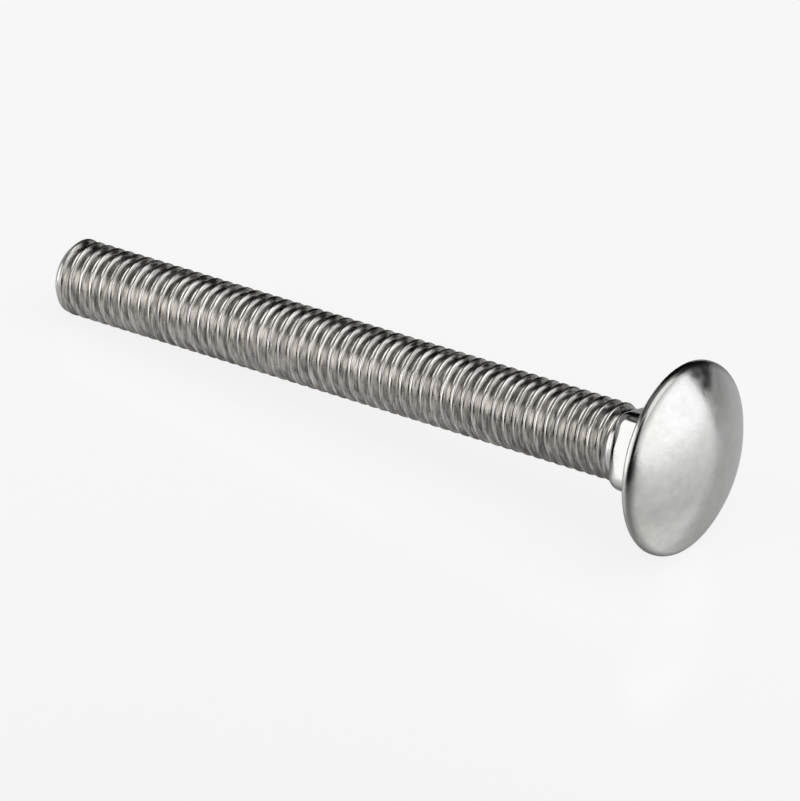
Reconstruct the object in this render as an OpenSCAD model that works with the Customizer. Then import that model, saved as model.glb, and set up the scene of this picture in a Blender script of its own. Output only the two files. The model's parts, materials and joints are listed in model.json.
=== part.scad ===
// Carriage bolt, M8 x 75, threaded to the head, in millimetres.
// Forged and rolled as one piece: a low domed head, a short square neck and a threaded shank.
// It lies as it comes to rest, on the rim of its head and the first turn of its thread.
// The thread is drawn as rings of its true profile, spaced by its true pitch.

/* [Head] */
// Diameter of the head across its rim
head_d = 19.8; // [19.3:0.05:20.7]
// Height of the straight rim, up to where the dome starts
rim_h = 0.85; // [0.7:0.05:1.5]
// Rise of the dome above the rim
dome_h = 3.35; // [2.8:0.05:4.2]
// Radius that eases the rim's edge at the bearing face
seat_edge_r = 0.3; // [0.1:0.05:0.35]
// Radius that eases the rim's edge at the dome
dome_edge_r = 0.35; // [0.1:0.05:0.6]

/* [Square neck] */
// Width of the neck across its flats
neck_w = 8; // [7.75:0.05:8.6]
// Length of the neck below the bearing face
neck_len = 5.3; // [4.4:0.1:6.5]
// Radius of the neck's four long corners
neck_corner_r = 1.3; // [0.4:0.1:1.6]
// Turn of the flats about the shank as the bolt lies, from straight down
neck_turn = -25; // [-45:1:45]

/* [Thread] */
// Length of the bolt below its head
shank_len = 75; // [30:5:150]
// Outer diameter of the thread
thread_d = 7.88; // [7.76:0.01:7.97]
// Pitch of the thread
pitch = 1.25; // [0.75:0.25:1.25]
// Plain length between the last crest and the neck
run_out_len = 1.1; // [0.4:0.1:2.5]
// Diameter of that plain length
run_out_d = 7.2; // [6.8:0.05:7.6]
// Diameter of the flat end face
tip_d = 6.6; // [5.8:0.1:7]
// Length of the chamfer behind the end face
tip_len = 0.65; // [0.4:0.05:1.2]

/* [Hidden] */
$fn = 96;

// Radii of the sections, measured from the bolt's own axis
head_r = head_d / 2;
crest_r = thread_d / 2;
run_out_r = run_out_d / 2;
tip_r = tip_d / 2;

// The dome is part of one sphere through the rim's upper corner and the crown
dome_r = (head_r * head_r + dome_h * dome_h) / (2 * dome_h);
dome_z = rim_h + dome_h - dome_r;
// The round at the dome's edge touches the rim and the sphere
round_z = dome_z + sqrt(pow(dome_r - dome_edge_r, 2) - pow(head_r - dome_edge_r, 2));
round_angle = atan2(round_z - dome_z, head_r - dome_edge_r);

// The metric 60 degree profile: flat crests of pitch / 8 and a depth of 0.6134 pitches
crest_flat = pitch / 8;
thread_depth = 0.6134 * pitch;
root_r = crest_r - thread_depth;
flank_len = thread_depth * tan(30);
groove_len = pitch - crest_flat;
first_groove_z = tip_len + crest_flat - shank_len;
thread_end_z = -neck_len - run_out_len;
groove_count = floor((thread_end_z - crest_flat - first_groove_z) / pitch);
last_crest_z = first_groove_z + groove_count * pitch;

// The corners' ends are rounded down to the plain length by one radius, drawn a little
// wider than the corners reach, so that it ends outside them
nose_clear = 0.1;
corner_reach = (neck_w / 2 - neck_corner_r) * sqrt(2) + neck_corner_r;
nose_r = corner_reach + nose_clear - run_out_r;

// At rest the bolt touches the floor with its rim's lower edge and its first crest
contact_len = shank_len - tip_len + seat_edge_r;
contact_rise = head_r - seat_edge_r - crest_r;
lean = atan2(contact_rise, contact_len) + asin(seat_edge_r / norm([contact_len, contact_rise]));
lift = (head_r - seat_edge_r) * cos(lean) + seat_edge_r * (1 - sin(lean));
x_high = dome_z * cos(lean) + dome_r;
x_low = -shank_len * cos(lean) - tip_r * sin(lean);

// Section of the head on the right of the axis, with its bearing face at z = 0
module head_section() {
    touch = [dome_r * cos(round_angle), dome_z + dome_r * sin(round_angle)];
    polygon([
        [0, 0],
        [head_r - seat_edge_r, 0],
        [head_r, seat_edge_r],
        [head_r, round_z],
        touch,
        [0, touch.y],
    ]);
    translate([head_r - seat_edge_r, seat_edge_r]) circle(r = seat_edge_r);
    translate([head_r - dome_edge_r, round_z]) circle(r = dome_edge_r);
    intersection() {
        translate([0, dome_z]) circle(r = dome_r);
        translate([0, touch.y]) square([head_r, dome_h + rim_h]);
    }
}

module head() {
    rotate_extrude() head_section();
}

// A square with four equal round corners
module round_square(width, corner_r) {
    inner = width / 2 - corner_r;
    square([width, 2 * inner], center = true);
    square([2 * inner, width], center = true);
    for (x = [-inner, inner], y = [-inner, inner])
        translate([x, y]) circle(r = corner_r);
}

// Round blank of the neck, whose nose takes the square's corners down to the shank
module neck_blank() {
    nose_z = nose_r - neck_len;
    rotate_extrude() {
        translate([0, -neck_len]) square([run_out_r, neck_len]);
        translate([run_out_r, nose_z]) circle(r = nose_r);
        translate([0, nose_z]) square([run_out_r + nose_r, -nose_z]);
    }
}

module neck() {
    intersection() {
        translate([0, 0, -neck_len]) linear_extrude(neck_len)
            rotate(neck_turn) round_square(neck_w, neck_corner_r);
        neck_blank();
    }
}

// Section of the shank: end face, chamfer, one groove for each pitch, then the plain run-out
module shank_section() {
    grooves = [
        for (i = [0 : groove_count - 1])
            let (z = first_groove_z + i * pitch) each [
                [crest_r, z],
                [root_r, z + flank_len],
                [root_r, z + groove_len - flank_len],
                [crest_r, z + groove_len],
            ]
    ];
    run_out = [
        [crest_r, last_crest_z],
        [run_out_r, last_crest_z + crest_r - run_out_r],
        [run_out_r, -neck_len],
    ];
    polygon(concat(
        [[0, -shank_len], [tip_r, -shank_len], [crest_r, tip_len - shank_len]],
        grooves,
        run_out,
        [[0, -neck_len]]
    ));
}

module shank() {
    rotate_extrude() shank_section();
}

// The whole bolt, laid on the floor with the middle of its length over the origin
module carriage_bolt() {
    color([0.76, 0.75, 0.73])
        translate([-(x_high + x_low) / 2, 0, lift])
            rotate([0, 90 - lean, 0]) {
                head();
                neck();
                shank();
            }
}

carriage_bolt();
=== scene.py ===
"""Carriage bolt, M8 x 75: the dressed model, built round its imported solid.

The bolt is one piece of stainless steel. Its right-hand thread is rolled, and its head and square
neck are cold forged. One closed mesh replaces the solid, which draws the thread as plain rings.
Sizes are in millimetres and are turned to metres where a mesh is made.
"""

import json
import logging
import math
from collections.abc import Callable, Iterable, Mapping, Sequence
from dataclasses import dataclass, field
from enum import Enum
from functools import partial

import bmesh
import bpy
from mathutils import Matrix, Vector


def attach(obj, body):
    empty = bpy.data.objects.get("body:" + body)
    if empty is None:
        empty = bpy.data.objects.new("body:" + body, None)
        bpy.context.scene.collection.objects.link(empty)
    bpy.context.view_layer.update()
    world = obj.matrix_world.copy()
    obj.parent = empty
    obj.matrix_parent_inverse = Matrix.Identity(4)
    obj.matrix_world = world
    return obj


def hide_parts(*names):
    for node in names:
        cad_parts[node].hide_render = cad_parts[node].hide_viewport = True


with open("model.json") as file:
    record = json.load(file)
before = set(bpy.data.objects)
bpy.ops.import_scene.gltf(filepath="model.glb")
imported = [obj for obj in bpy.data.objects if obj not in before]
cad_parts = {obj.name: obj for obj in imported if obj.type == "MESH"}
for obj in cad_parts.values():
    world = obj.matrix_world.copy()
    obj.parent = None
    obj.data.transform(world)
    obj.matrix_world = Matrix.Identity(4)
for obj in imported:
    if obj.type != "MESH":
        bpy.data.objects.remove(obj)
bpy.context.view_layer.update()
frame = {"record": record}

LOG = logging.getLogger("carriage_bolt")
MM = 0.001
FULL_TURN = 2 * math.pi
QUARTER_TURN = FULL_TURN / 4
EIGHTH_TURN = FULL_TURN / 8
# Vertices nearer than this are one vertex, in metres
MERGE_DISTANCE = 1e-6
MATH = "ShaderNodeMath"
WHITE = "#FFFFFF"
# The values between which a noise node mostly stays
NOISE_SPREAD = (0.3, 0.7)

Ring = list[Vector]
Curve = Callable[[float], float]


class Role(Enum):
    """What each lamp or card of the studio does."""

    END = "end_softbox"
    TOP = "top_softbox"
    SIDE = "side_softbox"
    BACK = "back_card"
    TAIL = "tail_card"
    HIGH = "high_card"
    LOFT = "loft_card"
    FRONT = "front_card"
    BROW = "brow_card"


def linear_colour(code: str) -> tuple[float, float, float, float]:
    """Turns an sRGB hex colour to the linear values that Blender's sockets hold.

    Args:
        code: Six hex digits after a hash, such as "#F8F8F8".

    Returns:
        Linear red, green and blue, and an alpha of 1.
    """
    channels = (int(code[i : i + 2], 16) / 255 for i in (1, 3, 5))
    linear = [c / 12.92 if c <= 0.04045 else ((c + 0.055) / 1.055) ** 2.4 for c in channels]
    return (*linear, 1.0)


def add_node(
    tree: bpy.types.NodeTree,
    kind: str,
    inputs: Mapping[str | int, object] | Sequence[object] = (),
    **settings: object,
) -> bpy.types.Node:
    """Adds one node to a tree, with its settings, its socket values and its links.

    Args:
        tree: The material's, world's or geometry's node tree.
        kind: Blender's name for the type of node.
        inputs: What goes in the sockets, in their order or by socket name or number. A node's first
            output or an output socket is linked, and anything else is set as the value.
        **settings: The node's own properties.

    Returns:
        The new node.
    """
    node = tree.nodes.new(kind)
    for name, value in settings.items():
        setattr(node, name, value)
    for socket, value in inputs.items() if isinstance(inputs, Mapping) else enumerate(inputs):
        source = value.outputs[0] if isinstance(value, bpy.types.Node) else value
        if isinstance(source, bpy.types.NodeSocket):
            tree.links.new(source, node.inputs[socket])
        else:
            node.inputs[socket].default_value = source
    return node


@dataclass(frozen=True)
class BoltAxis:
    """Where the bolt lies: the centre of its bearing face, and the way to its head.

    The bolt's own frame has its bearing face at z = 0, its head on the +z side and its +x side
    down, so that a length along the bolt is a z, and the tip is at the lowest z.
    """

    seat: Vector
    towards_head: Vector

    @classmethod
    def of_record(cls, record: dict) -> "BoltAxis":
        """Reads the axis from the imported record's mount on the bearing face.

        Args:
            record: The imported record.

        Returns:
            The bolt's axis in the shared frame, in metres.
        """
        mount = next(m for m in record["mounts"] if m["name"] == "head_seat")
        return cls(Vector(mount["pos_m"]), -Vector(mount["axis"]).normalized())

    def placement(self) -> Matrix:
        """Gives the place and turn of the bolt's own frame.

        Returns:
            The matrix from the bolt's own frame to the shared frame.
        """
        side = Vector((0, 1, 0))
        down = side.cross(self.towards_head)
        turn = Matrix((down, side, self.towards_head)).transposed()
        return Matrix.Translation(self.seat) @ turn.to_4x4()

    def missed_by(self, miss: tuple[float, float], length: float) -> "BoltAxis":
        """Gives the axis of a shank that passes this seat a little off its middle.

        Args:
            miss: Steps down and towards +Y at the bearing face, in millimetres.
            length: Distance to the tip, where the two axes meet, in millimetres.

        Returns:
            The shank's own axis.
        """
        step = self.placement().to_3x3() @ Vector((*miss, 0)) * MM
        tip = self.seat - self.towards_head * length * MM
        return BoltAxis(self.seat + step, (self.seat + step - tip).normalized())

    def coordinates(self, tree: bpy.types.NodeTree) -> bpy.types.Node:
        """Adds the nodes that give a material the bolt's own frame, from the object's.

        Args:
            tree: The material's node tree.

        Returns:
            The node whose output is the place on the bolt, in metres.
        """
        to_bolt = self.placement().inverted()
        return add_node(
            tree,
            "ShaderNodeMapping",
            {
                "Vector": add_node(tree, "ShaderNodeTexCoord").outputs["Object"],
                "Location": tuple(to_bolt.to_translation()),
                "Rotation": tuple(to_bolt.to_euler()),
            },
        )


@dataclass
class ThreadedShank:
    """The rolled shank, from its flat end to the plain length below the neck.

    The thread is a strip one pitch wide that winds round the shank, so that its crest and root
    follow the mesh's own edges.
    """

    length: float = 75.0
    # The photographed crests are spaced 1.2 % wider than the true 1.25 at this length, which is
    # the nominal one
    pitch: float = 1.265
    crest_r: float = 3.94
    depth: float = 0.767
    tip_r: float = 3.3
    chamfer_len: float = 0.65
    # How far from the end face the groove starts, and has its full depth
    groove_start: float = 0.5
    groove_full: float = 0.95
    # How softly the crests run into the chamfer
    chamfer_blend: float = 0.06
    run_out_r: float = 3.6
    # Depths below the bearing face where the thread starts to fade, is gone, and the neck begins
    fade_start: float = 6.6
    fade_end: float = 6.15
    top: float = 5.8
    # Where the crest starts round the shank, as a share of a turn
    start: float = -0.155
    # Unevenness of the rolled surface, the distance over which it changes, and its seed
    unevenness: float = 0.008
    uneven_size: float = 1.6
    uneven_detail: float = 2.0
    seed: float = 3.0
    # Turns wound past the two ends, which cut them off level
    spare_turns: int = 2
    rows_per_turn: int = 18
    columns: int = 80
    # Share of the half pitch from the crest's middle, and share of the depth: the rolled crest
    # has a fine seam along its middle, the flanks are straight and the root is round
    profile: tuple[tuple[float, float], ...] = (
        (0.0, 0.955),
        (0.06, 1.0),
        (0.12, 0.985),
        (0.18, 0.92),
        (0.3, 0.753),
        (0.65, 0.26),
        (0.78, 0.085),
        (0.88, 0.02),
        (1.0, 0.0),
    )
    # Share by which rows crowd on the crest and in the root
    row_crowding: float = 0.5
    # The end face: how far in its second ring is, and the radii of the next, as shares
    end_edge: float = 0.12
    end_rings: tuple[float, ...] = (0.75, 0.4, 0.0)

    def inputs(self, material: bpy.types.Material) -> dict[str, object]:
        """Gives the node tree's named inputs, lengths in metres.

        Args:
            material: The finish of the shank.

        Returns:
            Socket name to value.
        """
        turns = math.ceil((self.length - self.top) / self.pitch) + self.spare_turns
        return {
            "Turns": float(turns),
            "Rows": turns * self.rows_per_turn + 1,
            "Columns": self.columns + 1,
            "Row crowding": self.row_crowding / (2 * FULL_TURN),
            "Start": self.start,
            "Pitch": self.pitch * MM,
            "Root radius": (self.crest_r - self.depth) * MM,
            "Thread depth": self.depth * MM,
            "Tip position": -self.length * MM,
            "Tip radius": self.tip_r * MM,
            "Chamfer slope": (self.crest_r - self.tip_r) / self.chamfer_len,
            "Groove start": self.groove_start * MM,
            "Groove full": self.groove_full * MM,
            "Chamfer blend": self.chamfer_blend * MM,
            "Fade start": -self.fade_start * MM,
            "Fade end": -self.fade_end * MM,
            "Run-out radius": self.run_out_r * MM,
            "Top position": -self.top * MM,
            "Unevenness": self.unevenness * MM,
            "Uneven scale": 1 / (self.uneven_size * MM),
            "Uneven detail": self.uneven_detail,
            "Seed": self.seed,
            "Material": material,
        }

    def tree(self, values: dict[str, object]) -> bpy.types.NodeTree:
        """Builds the node tree that winds the thread.

        Args:
            values: The named inputs, whose types the tree's sockets take.

        Returns:
            The geometry node tree.
        """
        tree = bpy.data.node_groups.new("rolled_thread", "GeometryNodeTree")
        kinds = {float: "NodeSocketFloat", int: "NodeSocketInt"}
        for name, value in values.items():
            kind = kinds.get(type(value), "NodeSocketMaterial")
            tree.interface.new_socket(name, in_out="INPUT", socket_type=kind)
        tree.interface.new_socket("Geometry", in_out="OUTPUT", socket_type="NodeSocketGeometry")
        node = partial(add_node, tree)
        size = node("NodeGroupInput").outputs
        grid = node("GeometryNodeMeshGrid", (1.0, 1.0, size["Rows"], size["Columns"]))
        place = node("ShaderNodeSeparateXYZ", (node("GeometryNodeInputPosition"),)).outputs
        row = node(MATH, (place["X"], 0.5), operation="ADD")
        share = node(MATH, (place["Y"], 0.5), operation="ADD")

        # Height of each row: one pitch a turn, cut off level at both ends
        turn = node(MATH, (row, size["Turns"], -1.0), operation="MULTIPLY_ADD")
        swing = node(MATH, (turn, 2 * FULL_TURN), operation="MULTIPLY")
        wave = node(MATH, (swing,), operation="SINE")
        crowd = node(MATH, (wave, size["Row crowding"]), operation="MULTIPLY")
        crowded = node(MATH, (turn, crowd), operation="SUBTRACT")
        round_share = node(MATH, (share, size["Start"]), operation="SUBTRACT")
        wound = node(MATH, (crowded, round_share), operation="ADD")
        free_z = node(MATH, (wound, size["Pitch"], size["Tip position"]), operation="MULTIPLY_ADD")
        above_tip = node(MATH, (free_z, size["Tip position"]), operation="MAXIMUM")
        z = node(MATH, (above_tip, size["Top position"]), operation="MINIMUM")

        # Place in the thread's section: 0 in the middle of a crest and 1 in the middle of a root
        from_tip = node(MATH, (z, size["Tip position"]), operation="SUBTRACT")
        turns_up = node(MATH, (from_tip, size["Pitch"]), operation="DIVIDE")
        phase = node(MATH, (turns_up, round_share), operation="SUBTRACT")
        doubled = node(MATH, (phase, 2.0), operation="MULTIPLY")
        from_crest = node(MATH, (doubled, 1.0), operation="PINGPONG")
        section = node("ShaderNodeFloatCurve", {"Value": from_crest})
        curve = section.mapping.curves[0]
        while len(curve.points) < len(self.profile):
            curve.points.new(0.5, 0.5)
        for point, location in zip(curve.points, self.profile):
            point.location = location
        section.mapping.update()

        # Radius: the section's, inside the chamfer at the tip and gone at the run-out
        thread_r = node(
            MATH, (section, size["Thread depth"], size["Root radius"]), operation="MULTIPLY_ADD"
        )
        chamfer_r = node(
            MATH, (from_tip, size["Chamfer slope"], size["Tip radius"]), operation="MULTIPLY_ADD"
        )
        cut_r = node(MATH, (thread_r, chamfer_r, size["Chamfer blend"]), operation="SMOOTH_MIN")
        grooved = node(
            "ShaderNodeMapRange",
            {"Value": from_tip, "From Min": size["Groove start"], "From Max": size["Groove full"]},
            interpolation_type="SMOOTHSTEP",
        )
        near_tip = node("ShaderNodeMix", {0: grooved, 2: chamfer_r, 3: cut_r})
        gone = node(
            "ShaderNodeMapRange",
            {"Value": z, "From Min": size["Fade start"], "From Max": size["Fade end"]},
            interpolation_type="SMOOTHSTEP",
        )
        plain = node("ShaderNodeMix", {0: gone, 2: near_tip, 3: size["Run-out radius"]})

        # Unevenness of the rolling, which dies away where the strip meets the end face and the neck
        angle = node(MATH, (share, FULL_TURN), operation="MULTIPLY")
        cosine = node(MATH, (angle,), operation="COSINE")
        sine = node(MATH, (angle,), operation="SINE")
        root_x = node(MATH, (cosine, size["Root radius"]), operation="MULTIPLY")
        root_y = node(MATH, (sine, size["Root radius"]), operation="MULTIPLY")
        noise = node(
            "ShaderNodeTexNoise",
            {
                "Vector": node("ShaderNodeCombineXYZ", (root_x, root_y, z)),
                "W": size["Seed"],
                "Scale": size["Uneven scale"],
                "Detail": size["Uneven detail"],
            },
            noise_dimensions="4D",
        )
        centred = node(MATH, (noise, 0.5), operation="SUBTRACT")
        uneven = node(MATH, (centred, size["Unevenness"]), operation="MULTIPLY")
        still_there = node(MATH, (1.0, gone), operation="SUBTRACT")
        both = node(MATH, (grooved, still_there), operation="MULTIPLY")
        radius = node(MATH, (uneven, both, plain), operation="MULTIPLY_ADD")

        x = node(MATH, (cosine, radius), operation="MULTIPLY")
        y = node(MATH, (sine, radius), operation="MULTIPLY")
        strip = node(
            "GeometryNodeSetPosition",
            {"Geometry": grid.outputs["Mesh"], "Position": node("ShaderNodeCombineXYZ", (x, y, z))},
        )
        whole = node("GeometryNodeMergeByDistance", {"Geometry": strip, "Distance": MERGE_DISTANCE})
        smooth = node("GeometryNodeSetShadeSmooth", {"Geometry": whole})
        real = node("GeometryNodeRealizeInstances", {"Geometry": smooth})
        dressed = node("GeometryNodeSetMaterial", {"Geometry": real, "Material": size["Material"]})
        node("NodeGroupOutput", (dressed,))
        return tree

    def build(self, material: bpy.types.Material) -> bpy.types.Mesh:
        """Winds the thread and gives it back as a plain mesh in the bolt's own frame.

        Args:
            material: The finish of the shank.

        Returns:
            The open tube of the shank, in metres.
        """
        values = self.inputs(material)
        tree = self.tree(values)
        maker = bpy.data.objects.new("thread_maker", bpy.data.meshes.new("thread_maker"))
        bpy.context.scene.collection.objects.link(maker)
        modifier = maker.modifiers.new("rolled_thread", "NODES")
        modifier.node_group = tree
        for socket in tree.interface.items_tree:
            if socket.in_out == "INPUT":
                modifier[socket.identifier] = values[socket.name]
        evaluated = maker.evaluated_get(bpy.context.evaluated_depsgraph_get())
        mesh = bpy.data.meshes.new_from_object(evaluated)
        maker.modifiers.remove(modifier)
        bpy.data.objects.remove(maker)
        return mesh

    def end_face(self) -> list[Ring]:
        """Closes the tip with the flat end face.

        Returns:
            The rings of the face, from its edge to its middle, in metres.
        """
        inner = [share * self.tip_r for share in self.end_rings]
        radii = [self.tip_r, self.tip_r - self.end_edge, *inner]
        return [level_ring(self.columns, -self.length, radius) for radius in radii]


def level_ring(columns: int, z: float, reach: float | Curve, turn: Curve | None = None) -> Ring:
    """Makes a ring of points round the bolt's axis at one height.

    Args:
        columns: Points in the ring.
        z: Height along the bolt, in millimetres.
        reach: Distance from the axis in millimetres, the same all round or at each angle.
        turn: Where a column's even angle moves to, in radians.

    Returns:
        The ring's points in the bolt's own frame, in metres.
    """
    points = []
    for i in range(columns):
        even = FULL_TURN * i / columns
        angle = turn(even) if turn else even
        radius = reach(angle) if callable(reach) else reach
        points.append(Vector((radius * math.cos(angle), radius * math.sin(angle), z)) * MM)
    return points


@dataclass
class SquareNeck:
    """The forged square neck, from the round shank to the bearing face."""

    width: float = 8.0
    corner_r: float = 1.3
    # Turn of the flats about the axis, from straight down, in degrees
    turn: float = -21.0
    round_r: float = 3.6
    # Depths below the bearing face: the end of the round shank, and where the swell to the square
    # starts and is full, in the middle of a flat and at a corner
    bottom: float = 5.8
    flat_foot: float = 5.2
    flat_full: float = 4.95
    corner_foot: float = 5.75
    corner_full: float = 4.1
    fillet: float = 0.3
    # How full the swell is: 1 is a straight cone, 2 a quarter of an ellipse
    flat_swell: float = 1.4
    corner_swell: float = 2.0
    crowding: float = 0.55
    columns: int = 80
    nose_rings: int = 12
    side_rings: int = 6
    fillet_rings: int = 4

    def from_flat(self, angle: float) -> float:
        """Gives the angle from the middle of the nearest flat, from 0 to an eighth of a turn."""
        folded = (angle - math.radians(self.turn) + EIGHTH_TURN) % QUARTER_TURN
        return abs(folded - EIGHTH_TURN)

    def reach(self, angle: float, out: float = 0.0) -> float:
        """Gives the distance from the axis to the full section's edge at an angle.

        Args:
            angle: The angle round the axis, in radians.
            out: How far outside that edge, in millimetres.

        Returns:
            The distance in millimetres.
        """
        bend = self.from_flat(angle)
        half = self.width / 2
        inner = half - self.corner_r
        if half * math.tan(bend) <= inner:
            return half / math.cos(bend) + out
        along = inner * (math.cos(bend) + math.sin(bend))
        return along + math.sqrt(along**2 - 2 * inner**2 + self.corner_r**2) + out

    def crowded(self, angle: float, share: float) -> float:
        """Moves a column's angle towards the nearest corner, so that the corners stay round."""
        off = 4 * (angle - math.radians(self.turn) - EIGHTH_TURN)
        return angle - share * self.crowding * math.sin(off) / 4

    def rings(self) -> list[Ring]:
        """Lofts the neck from the shank's round section up to the fillet at the bearing face.

        Returns:
            The rings in the bolt's own frame, in metres.
        """
        rings = [level_ring(self.columns, -self.bottom, self.round_r)]
        for i in range(self.nose_rings + 1):
            share = i / self.nose_rings
            rings.append(self.ring(share * QUARTER_TURN, share, 0.0))
        for i in range(1, self.side_rings + 1):
            rings.append(self.ring(QUARTER_TURN, 1.0, i / self.side_rings))
        for i in range(1, self.fillet_rings + 1):
            swing = QUARTER_TURN * i / self.fillet_rings
            reach = partial(self.reach, out=self.fillet * (1 - math.cos(swing)))
            z = -self.fillet * (1 - math.sin(swing))
            rings.append(level_ring(self.columns, z, reach, partial(self.crowded, share=1.0)))
        return rings

    def ring(self, swing: float, crowd: float, up: float) -> Ring:
        """Makes one ring that follows the flats' and corners' own starts.

        Args:
            swing: How far the swell has come, from 0 to a quarter turn.
            crowd: Share of the full crowding at the corners.
            up: Share of the way from the swell's end to the fillet.

        Returns:
            The ring's points in the bolt's own frame, in metres.
        """
        points = []
        for i in range(self.columns):
            angle = self.crowded(FULL_TURN * i / self.columns, crowd)
            corner = self.from_flat(angle) / EIGHTH_TURN
            blend = corner * corner * (3 - 2 * corner)
            foot = self.flat_foot + (self.corner_foot - self.flat_foot) * blend
            full_depth = self.flat_full + (self.corner_full - self.flat_full) * blend
            power = self.flat_swell + (self.corner_swell - self.flat_swell) * blend
            along = 1 - math.cos(swing) ** (2 / power)
            out = math.sin(swing) ** (2 / power)
            radius = self.round_r + (self.reach(angle) - self.round_r) * out
            depth = foot + (full_depth - foot) * along
            depth += (self.fillet - depth) * up
            points.append(Vector((radius * math.cos(angle), radius * math.sin(angle), -depth)) * MM)
        return points


@dataclass
class DomedHead:
    """The low domed head, from its bearing face over the rim to its crown."""

    diameter: float = 19.8
    rim_height: float = 0.85
    dome_height: float = 3.35
    seat_edge_r: float = 0.3
    dome_edge_r: float = 0.7
    columns: int = 80
    seat_rings: int = 5
    edge_rings: int = 6
    dome_rings: int = 40

    def seat_r(self) -> float:
        """Gives the radius where the bearing face meets the round at its edge."""
        return self.diameter / 2 - self.seat_edge_r

    def seat_reach(self, angle: float, neck: SquareNeck, share: float) -> float:
        """Gives a distance from the axis on the bearing face.

        Args:
            angle: The angle round the axis, in radians.
            neck: The neck, whose square fillet the face starts from.
            share: How far out, from 0 at the fillet to 1 at the edge.

        Returns:
            The distance in millimetres.
        """
        start = neck.reach(angle, out=neck.fillet)
        return start + (self.seat_r() - start) * share

    def profile(self) -> list[tuple[float, float]]:
        """Draws the head's outline from the bearing face's edge over the dome to the crown.

        Returns:
            Radius and height of each point, in millimetres.
        """
        radius = self.diameter / 2
        dome_r = (radius**2 + self.dome_height**2) / (2 * self.dome_height)
        dome_z = self.rim_height + self.dome_height - dome_r
        # The round at the dome's edge touches the rim and the dome's sphere
        round_x = radius - self.dome_edge_r
        round_z = dome_z + math.sqrt((dome_r - self.dome_edge_r) ** 2 - round_x**2)
        round_angle = math.atan2(round_z - dome_z, round_x)
        points = []
        for i in range(1, self.edge_rings + 1):
            swing = QUARTER_TURN * i / self.edge_rings
            out, up = math.sin(swing), 1 - math.cos(swing)
            points.append((self.seat_r() + self.seat_edge_r * out, self.seat_edge_r * up))
        for i in range(self.edge_rings + 1):
            swing = round_angle * i / self.edge_rings
            out, up = math.cos(swing), math.sin(swing)
            points.append((round_x + self.dome_edge_r * out, round_z + self.dome_edge_r * up))
        for i in range(1, self.dome_rings + 1):
            swing = round_angle + (QUARTER_TURN - round_angle) * i / self.dome_rings
            points.append((dome_r * math.cos(swing), dome_z + dome_r * math.sin(swing)))
        return points

    def rings(self, neck: SquareNeck) -> list[Ring]:
        """Gives the head's rings, from the neck's fillet to the crown.

        Args:
            neck: The neck, whose square fillet the bearing face starts from.

        Returns:
            The rings in the bolt's own frame, in metres.
        """
        rings = []
        for i in range(1, self.seat_rings + 1):
            share = i / self.seat_rings
            reach = partial(self.seat_reach, neck=neck, share=share)
            rings.append(level_ring(self.columns, 0.0, reach, partial(neck.crowded, share=1 - share)))
        return rings + [level_ring(self.columns, z, radius) for radius, z in self.profile()]


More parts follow.
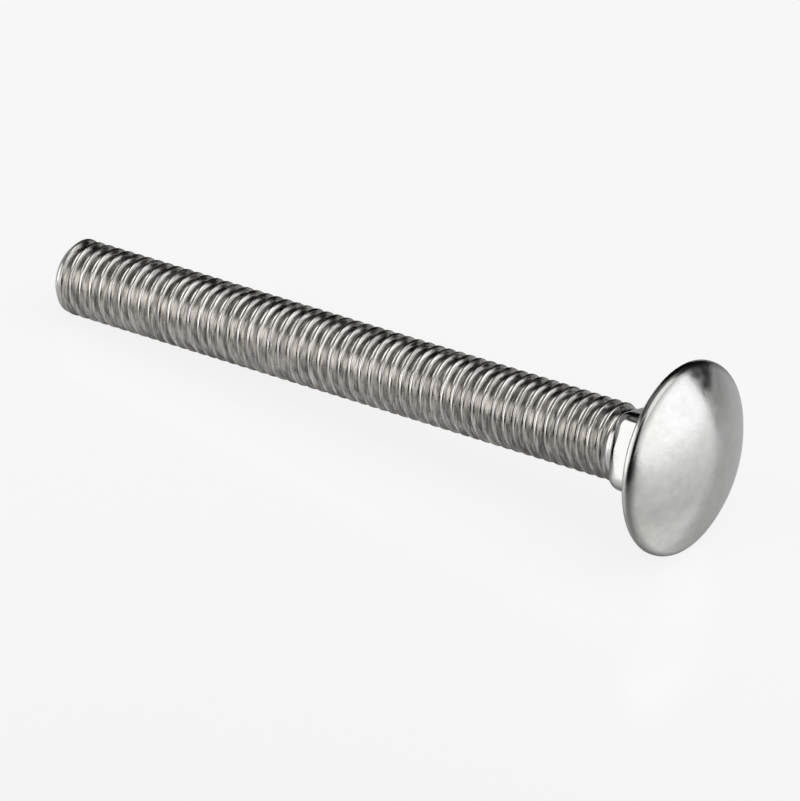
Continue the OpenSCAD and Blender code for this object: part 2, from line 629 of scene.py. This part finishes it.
@dataclass(frozen=True)
class RolledStainless:
    """Stainless steel with a rolled thread: grooves painted darker than the crests as painted shade,
    and streaks round the shank.

    Lengths are in millimetres, and a noise's detail is its number of octaves.
    """

    # Painted shade: the roots are painted darker and a little warmer than the crests, so that the
    # grooves look shaded
    crest: str = "#C8C5C2"
    root: str = "#C0BDB8"
    # Radii at which each of the two is full
    root_r: float = 3.3
    crest_r: float = 3.94
    # The chamfer was turned before the rolling and is clean
    chamfer: str = "#D2D2D2"
    chamfer_start: float = -74.25
    chamfer_full: float = -74.4
    roughness: tuple[float, float] = (0.14, 0.3)
    # Drag marks of the dies, drawn at twice their width so that they show at this size
    streak_length: float = 2.2
    streak_width: float = 0.12
    streak_depth: float = 0.0022
    streak_detail: float = 3.0
    # How strong each finer octave is beside the one before
    streak_grit: float = 0.6
    # How much the streaks darken and lighten the steel, and the noise values where they do
    streak_shade: tuple[float, float] = (0.55, 1.35)
    streak_range: tuple[float, float] = (0.4, 0.6)
    # Small dents and flats that break the glints along a crest
    dent_size: float = 0.7
    dent_depth: float = 0.002
    dent_detail: float = 2.0
    seed: float = 5.0

    def material(self, axis: BoltAxis) -> bpy.types.Material:
        """Builds the material.

        Args:
            axis: The shank's axis, which the streaks run round.

        Returns:
            The finished material.
        """
        material = bpy.data.materials.new("rolled_stainless_steel")
        material.use_nodes = True
        tree = material.node_tree
        tree.nodes.clear()
        node = partial(add_node, tree)
        place = axis.coordinates(tree)

        # Streaks are long round the shank and short along it
        drawn = node(
            "ShaderNodeMapping",
            {
                "Vector": place,
                "Scale": tuple(1 / (s * MM) for s in (self.streak_length,) * 2 + (self.streak_width,)),
            },
        )
        streaks = node(
            "ShaderNodeTexNoise",
            {
                "Vector": drawn,
                "W": self.seed,
                "Scale": 1.0,
                "Detail": self.streak_detail,
                "Roughness": self.streak_grit,
            },
            noise_dimensions="4D",
        )
        dents = node(
            "ShaderNodeTexNoise",
            {
                "Vector": place,
                "W": self.seed,
                "Scale": 1 / (self.dent_size * MM),
                "Detail": self.dent_detail,
            },
            noise_dimensions="4D",
        )

        # Height in the thread, from the distance to the axis
        across = node("ShaderNodeVectorMath", (place, (1.0, 1.0, 0.0)), operation="MULTIPLY")
        radius = node("ShaderNodeVectorMath", (across,), operation="LENGTH").outputs["Value"]
        height = node(
            "ShaderNodeMapRange",
            {"Value": radius, "From Min": self.root_r * MM, "From Max": self.crest_r * MM},
        )
        # Painted shade: the colour darkens from the crest towards the root
        grooved = node(
            "ShaderNodeMix",
            {0: height, 6: linear_colour(self.root), 7: linear_colour(self.crest)},
            data_type="RGBA",
        )
        at_tip = node(
            "ShaderNodeMapRange",
            {
                "Value": node("ShaderNodeSeparateXYZ", (place,)).outputs["Z"],
                "From Min": self.chamfer_start * MM,
                "From Max": self.chamfer_full * MM,
            },
        )
        colour = node(
            "ShaderNodeMix",
            {0: at_tip, 6: grooved.outputs[2], 7: linear_colour(self.chamfer)},
            data_type="RGBA",
        )
        # The dies leave no drag marks on the chamfer and the end face
        shade = node("ShaderNodeMapRange", (streaks, *self.streak_range, *self.streak_shade))
        off_tip = node(MATH, (1.0, at_tip), operation="SUBTRACT")
        streaky = node(
            "ShaderNodeMix",
            {0: off_tip, 6: colour.outputs[2], 7: shade},
            data_type="RGBA",
            blend_type="MULTIPLY",
        )
        roughness = node("ShaderNodeMapRange", (streaks, *NOISE_SPREAD, *self.roughness))
        dented = node("ShaderNodeBump", {"Distance": self.dent_depth * MM, "Height": dents})
        streaked = node(
            "ShaderNodeBump",
            {"Distance": self.streak_depth * MM, "Height": streaks, "Normal": dented},
        )
        shader = node(
            "ShaderNodeBsdfPrincipled",
            {
                "Base Color": streaky.outputs[2],
                "Metallic": 1.0,
                "Roughness": roughness,
                "Normal": streaked,
            },
        )
        node("ShaderNodeOutputMaterial", {"Surface": shader})
        return material


@dataclass(frozen=True)
class ForgedStainless:
    """Cold-forged, tumbled stainless steel: satin with soft blotches, a smooth neck, and a neck and
    rim edge painted darker as painted shade.

    Lengths are in millimetres, and a noise's detail is its number of octaves.
    """

    dome: str = "#DEDEDE"
    # The tumbling leaves a faint warm haze in patches
    haze: str = "#D5D4CE"
    haze_size: float = 6.0
    haze_detail: float = 6.0
    haze_range: tuple[float, float] = (0.42, 0.66)
    # The edge is painted darker, as painted shade along the rim, and is evenly dull
    painted_shade_edge: str = "#9E9E9C"
    edge_start: float = 9.2
    edge_full: float = 9.75
    edge_roughness: float = 0.22
    # The die presses the neck and the rim's side smooth. Both are painted darker than the dome, as
    # painted shade that keeps the flats from glaring white under the side lamp
    neck: str = "#C0C0BE"
    neck_end: float = 0.6
    neck_start: float = 0.4
    neck_roughness: float = 0.12
    roughness: tuple[float, float] = (0.15, 0.26)
    blotch_size: float = 1.0
    blotch_detail: float = 6.0
    # How much the blotches darken and lighten the steel
    blotch_shade: tuple[float, float] = (0.9, 1.06)
    # The satin grain, drawn coarser than its few hundredths so that it shows at this size
    grain_size: float = 0.3
    grain_depth: float = 0.006
    grain_detail: float = 1.0
    dent_size: float = 1.4
    dent_depth: float = 0.006
    dent_detail: float = 2.0
    seed: float = 11.0

    def material(self, axis: BoltAxis) -> bpy.types.Material:
        """Builds the material.

        Args:
            axis: The bolt's axis, along which the neck ends and the head begins.

        Returns:
            The finished material.
        """
        material = bpy.data.materials.new("forged_stainless_steel")
        material.use_nodes = True
        tree = material.node_tree
        tree.nodes.clear()
        node = partial(add_node, tree)
        place = axis.coordinates(tree)
        haze, blotches, grain, dents = (
            node(
                "ShaderNodeTexNoise",
                {"Vector": place, "W": self.seed, "Scale": 1 / (size * MM), "Detail": detail},
                noise_dimensions="4D",
            )
            for size, detail in (
                (self.haze_size, self.haze_detail),
                (self.blotch_size, self.blotch_detail),
                (self.grain_size, self.grain_detail),
                (self.dent_size, self.dent_detail),
            )
        )
        hazy = node("ShaderNodeMapRange", (haze, *self.haze_range))
        dome = node(
            "ShaderNodeMix",
            {0: hazy, 6: linear_colour(self.dome), 7: linear_colour(self.haze)},
            data_type="RGBA",
        )
        shade = node("ShaderNodeMapRange", (blotches, *NOISE_SPREAD, *self.blotch_shade))
        blotchy = node(
            "ShaderNodeMix",
            {0: 1.0, 6: dome.outputs[2], 7: shade},
            data_type="RGBA",
            blend_type="MULTIPLY",
        )
        across = node("ShaderNodeVectorMath", (place, (1.0, 1.0, 0.0)), operation="MULTIPLY")
        at_edge = node(
            "ShaderNodeMapRange",
            {
                "Value": node("ShaderNodeVectorMath", (across,), operation="LENGTH").outputs["Value"],
                "From Min": self.edge_start * MM,
                "From Max": self.edge_full * MM,
            },
        )
        # Painted shade: the dome's edge is darker than the rest of the head
        head = node(
            "ShaderNodeMix",
            {0: at_edge, 6: blotchy.outputs[2], 7: linear_colour(self.painted_shade_edge)},
            data_type="RGBA",
        )
        on_neck = node(
            "ShaderNodeMapRange",
            {
                "Value": node("ShaderNodeSeparateXYZ", (place,)).outputs["Z"],
                "From Min": self.neck_end * MM,
                "From Max": self.neck_start * MM,
            },
        )
        # Painted shade: the neck and the rim's side are darker than the dome
        colour = node(
            "ShaderNodeMix",
            {0: on_neck, 6: head.outputs[2], 7: linear_colour(self.neck)},
            data_type="RGBA",
        )
        roughness = node("ShaderNodeMapRange", (blotches, *NOISE_SPREAD, *self.roughness))
        duller = node("ShaderNodeMix", {0: at_edge, 2: roughness, 3: self.edge_roughness})
        pressed = node("ShaderNodeMix", {0: on_neck, 2: duller, 3: self.neck_roughness})
        dented = node("ShaderNodeBump", {"Distance": self.dent_depth * MM, "Height": dents})
        grained = node(
            "ShaderNodeBump",
            {"Distance": self.grain_depth * MM, "Height": grain, "Normal": dented},
        )
        shader = node(
            "ShaderNodeBsdfPrincipled",
            {
                "Base Color": colour.outputs[2],
                "Metallic": 1.0,
                "Roughness": pressed,
                "Normal": grained,
            },
        )
        node("ShaderNodeOutputMaterial", {"Surface": shader})
        return material


@dataclass
class CarriageBolt:
    """The whole bolt: shank, neck and head in one closed mesh."""

    axis: BoltAxis
    shank: ThreadedShank = field(default_factory=ThreadedShank)
    neck: SquareNeck = field(default_factory=SquareNeck)
    head: DomedHead = field(default_factory=DomedHead)
    # The head is forged a little off the shank: how far the shank's axis passes the head's
    # middle, downwards and towards +Y, in millimetres
    shank_miss: tuple[float, float] = (0.22, -0.17)

    def loft(self, shape: bmesh.types.BMesh, rings: Iterable[Ring], material_index: int) -> None:
        """Skins rings of equal length with quads, one ring to the next.

        Args:
            shape: The mesh being built.
            rings: The rings, in order.
            material_index: The material slot of the new faces.
        """
        below = None
        for ring in rings:
            above = [shape.verts.new(point) for point in ring]
            if below:
                for i in range(len(ring)):
                    corners = (below[i - 1], below[i], above[i], above[i - 1])
                    face = shape.faces.new(corners)
                    face.material_index = material_index
                    face.smooth = True
            below = above

    def set_off(self, shape: bmesh.types.BMesh) -> None:
        """Moves the shank and neck off the head's middle, with the tip and the rim left in place.

        Args:
            shape: The whole bolt in its own frame, in metres.
        """
        miss = Vector((*self.shank_miss, 0))
        neck_r = self.neck.reach(math.radians(self.neck.turn) + EIGHTH_TURN, self.neck.fillet)
        seat_r = self.head.seat_r()
        for vert in shape.verts:
            if vert.co.z > MERGE_DISTANCE:
                continue
            along = 1 + vert.co.z / MM / self.shank.length
            across = (seat_r - vert.co.xy.length / MM) / (seat_r - neck_r)
            vert.co += miss * MM * along * min(1.0, max(0.0, across))

    def build(self) -> bpy.types.Object:
        """Builds the bolt's mesh in the shared frame.

        Returns:
            The bolt as one object at the origin.
        """
        shank_axis = self.axis.missed_by(self.shank_miss, self.shank.length)
        thread_steel = RolledStainless().material(shank_axis)
        head_steel = ForgedStainless().material(self.axis)
        shape = bmesh.new()
        shape.from_mesh(self.shank.build(thread_steel))
        for face in shape.faces:
            face.material_index = 0
        self.loft(shape, self.shank.end_face(), 0)
        self.loft(shape, self.neck.rings() + self.head.rings(self.neck), 1)
        bmesh.ops.remove_doubles(shape, verts=shape.verts, dist=MERGE_DISTANCE)
        bmesh.ops.recalc_face_normals(shape, faces=shape.faces)
        self.set_off(shape)
        mesh = bpy.data.meshes.new("carriage_bolt_steel")
        shape.to_mesh(mesh)
        shape.free()
        mesh.materials.append(thread_steel)
        mesh.materials.append(head_steel)
        mesh.transform(self.axis.placement())
        bolt = bpy.data.objects.new("bolt", mesh)
        bpy.context.scene.collection.objects.link(bolt)
        return bolt


def direction(azimuth: float, elevation: float) -> Vector:
    """Gives a unit vector from the bolt.

    Args:
        azimuth: Degrees from +X towards +Y.
        elevation: Degrees above the floor.

    Returns:
        The direction in the shared frame.
    """
    across, rise = math.radians(azimuth), math.radians(elevation)
    level = math.cos(rise)
    return Vector((math.cos(across) * level, math.sin(across) * level, math.sin(rise)))


@dataclass(frozen=True)
class Softbox:
    """A soft rectangular lamp that faces the bolt, of even brightness, where 1 is white.

    Angles are in degrees and lengths in metres.
    """

    role: Role
    azimuth: float
    elevation: float
    distance: float
    width: float
    height: float
    brightness: float

    def build(self) -> None:
        """Hangs the lamp, unseen by the camera itself."""
        out = direction(self.azimuth, self.elevation)
        right = direction(self.azimuth + 90, 0)
        turn = Matrix((right, out.cross(right), out)).transposed()
        data = bpy.data.lights.new(self.role.value, "AREA")
        data.shape = "RECTANGLE"
        data.size = self.width
        data.size_y = self.height
        # A lamp of one watt to the square metre is as bright as 1 / pi
        data.energy = self.brightness * math.pi * self.width * self.height
        lamp = bpy.data.objects.new(self.role.value, data)
        lamp.matrix_world = Matrix.Translation(out * self.distance) @ turn.to_4x4()
        lamp.visible_camera = False
        bpy.context.scene.collection.objects.link(lamp)


@dataclass(frozen=True)
class Card:
    """A matt card bent round the bolt, which the metal mirrors as one of its darker bands.

    It is a patch of a sphere between two azimuths and two elevations, in degrees.
    """

    role: Role
    azimuths: tuple[float, float]
    elevations: tuple[float, float]
    colour: str
    distance: float = 1.1
    steps: int = 8

    def build(self) -> None:
        """Stands the card up, unseen by the camera itself."""
        points = []
        for i in range(self.steps + 1):
            for j in range(self.steps + 1):
                azimuth = self.azimuths[0] + (self.azimuths[1] - self.azimuths[0]) * i / self.steps
                rise = self.elevations[0] + (self.elevations[1] - self.elevations[0]) * j / self.steps
                points.append(direction(azimuth, rise) * self.distance)
        row = self.steps + 1
        starts = [i * row + j for i in range(self.steps) for j in range(self.steps)]
        mesh = bpy.data.meshes.new(self.role.value)
        mesh.from_pydata(points, [], [(k, k + 1, k + row + 1, k + row) for k in starts])
        material = bpy.data.materials.new("matt_card")
        material.use_nodes = True
        tree = material.node_tree
        tree.nodes.clear()
        paint = add_node(tree, "ShaderNodeBsdfDiffuse", {"Color": linear_colour(self.colour)})
        add_node(tree, "ShaderNodeOutputMaterial", {"Surface": paint.outputs[0]})
        mesh.materials.append(material)
        card = bpy.data.objects.new(self.role.value, mesh)
        card.visible_camera = False
        bpy.context.scene.collection.objects.link(card)


@dataclass
class Studio:
    """Pale floor, soft lamps and the camera at the photograph's angle."""

    background: str = "#F8F8F8"
    # Width of the floor, in metres
    floor_size: float = 6.0
    # Where the image's right points, from +X towards +Y, and how high the camera stands, in
    # degrees, then its distance in millimetres
    azimuth: float = 36.15
    elevation: float = 32.05
    distance: float = 896.43
    # What the camera looks at, in millimetres: a height over the origin, then steps to the
    # image's right and up
    aim_height: float = 10.0
    aim_right: float = 1.362
    aim_up: float = -5.697
    lens: float = 405.0
    sensor: float = 36.0
    # What the camera sees lies between these distances, in metres
    clip: tuple[float, float] = (0.01, 20.0)
    # Coated board, which mirrors the bolt and the lamps a little
    paper: str = "#D3D3D3"
    paper_roughness: float = 0.15
    paper_ior: float = 2.1
    # Shares of white over the paper's own light and shadow, as the camera sees the floor, where
    # they add up to the background, and as metal mirrors it
    plain_share: float = 0.86
    mirrored_share: float = 0.05
    lamps: tuple[Softbox, ...] = (
        Softbox(Role.END, 15, 16.5, 0.9, 1.3, 0.5, brightness=0.42),
        Softbox(Role.TOP, 8, 68, 0.9, 1.0, 0.8, brightness=1.35),
        Softbox(Role.SIDE, 238, 21, 0.9, 1.0, 0.7, brightness=0.9),
    )
    # The last two stand close in front, and also shade the floor that the thread mirrors there
    cards: tuple[Card, ...] = (
        Card(Role.BACK, (51, 150), (1, 46), "#101010"),
        Card(Role.TAIL, (150, 208), (0, 46), "#B0B0B0"),
        Card(Role.HIGH, (48, 240), (45, 53), "#3C3C3C"),
        Card(Role.LOFT, (60, 240), (53, 76), "#B0B0B0"),
        Card(Role.FRONT, (264, 345), (0, 15), "#161616", distance=0.15),
        Card(Role.BROW, (277, 326), (15, 62), "#222222", distance=0.15),
    )

    def plain_part(self, tree: bpy.types.NodeTree) -> bpy.types.NodeSocket:
        """Gives the share of the plain background in the floor's look, for each kind of ray.

        Args:
            tree: The floor's node tree.

        Returns:
            A socket that is 0 for the rays that light matt surfaces.
        """
        node = partial(add_node, tree)
        rays = node("ShaderNodeLightPath").outputs
        mirrored = node(
            MATH, (rays["Is Glossy Ray"], rays["Is Transmission Ray"]), operation="MAXIMUM"
        )
        lowered = node(MATH, (mirrored, self.mirrored_share), operation="MULTIPLY")
        whole = node(
            MATH, (rays["Is Camera Ray"], self.plain_share, lowered), operation="MULTIPLY_ADD"
        )
        return whole.outputs[0]

    def build_floor(self) -> None:
        """Lays the plain pale floor that the bolt rests on."""
        half = self.floor_size / 2
        mesh = bpy.data.meshes.new("floor")
        corners = [(-half, -half, 0), (half, -half, 0), (half, half, 0), (-half, half, 0)]
        mesh.from_pydata(corners, [], [(0, 1, 2, 3)])
        material = bpy.data.materials.new("pale_floor")
        material.use_nodes = True
        tree = material.node_tree
        tree.nodes.clear()
        paint = add_node(
            tree,
            "ShaderNodeBsdfPrincipled",
            {
                "Base Color": linear_colour(self.paper),
                "Roughness": self.paper_roughness,
                "IOR": self.paper_ior,
            },
        )
        plain = add_node(tree, "ShaderNodeEmission", {"Color": linear_colour(WHITE)})
        mix = add_node(
            tree,
            "ShaderNodeMixShader",
            {0: self.plain_part(tree), 1: paint.outputs[0], 2: plain.outputs[0]},
        )
        add_node(tree, "ShaderNodeOutputMaterial", {"Surface": mix.outputs[0]})
        mesh.materials.append(material)
        floor = bpy.data.objects.new("floor", mesh)
        bpy.context.scene.collection.objects.link(floor)

    def build_world(self) -> None:
        """Surrounds the bolt with plain pale light."""
        world = bpy.data.worlds.new("studio")
        world.use_nodes = True
        bpy.context.scene.world = world
        tree = world.node_tree
        tree.nodes.clear()
        colour = linear_colour(self.background)
        light = add_node(tree, "ShaderNodeBackground", {"Color": colour, "Strength": 1.0})
        add_node(tree, "ShaderNodeOutputWorld", {"Surface": light.outputs[0]})

    def build_camera(self) -> None:
        """Places the camera at the photograph's viewing angle."""
        azimuth = math.radians(self.azimuth)
        elevation = math.radians(self.elevation)
        right = Vector((math.cos(azimuth), math.sin(azimuth), 0))
        back = Vector(
            (
                math.sin(azimuth) * math.cos(elevation),
                -math.cos(azimuth) * math.cos(elevation),
                math.sin(elevation),
            )
        )
        up = back.cross(right)
        aim = Vector((0, 0, self.aim_height)) + self.aim_right * right + self.aim_up * up
        data = bpy.data.cameras.new("camera")
        data.lens = self.lens
        data.sensor_width = self.sensor
        data.sensor_fit = "HORIZONTAL"
        data.clip_start, data.clip_end = self.clip
        camera = bpy.data.objects.new("camera", data)
        turn = Matrix((right, up, back)).transposed()
        camera.matrix_world = Matrix.Translation((aim + self.distance * back) * MM) @ turn.to_4x4()
        bpy.context.scene.collection.objects.link(camera)
        bpy.context.scene.camera = camera

    def build(self) -> None:
        """Builds the floor, the lights and the camera, and sets how colours are shown."""
        bpy.context.scene.view_settings.view_transform = "Standard"
        self.build_floor()
        self.build_world()
        self.build_camera()
        for part in (*self.lamps, *self.cards):
            part.build()


def main() -> None:
    """Builds the studio and the bolt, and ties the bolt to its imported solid."""
    logging.basicConfig(level=logging.INFO, format="%(name)s: %(message)s")
    Studio().build()
    bolt = CarriageBolt(BoltAxis.of_record(frame["record"])).build()
    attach(bolt, "root")
    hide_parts("carriage_bolt")
    LOG.info("%s: %d vertices, %d faces", bolt.name, len(bolt.data.vertices), len(bolt.data.polygons))


if __name__ == "__main__":
    main()
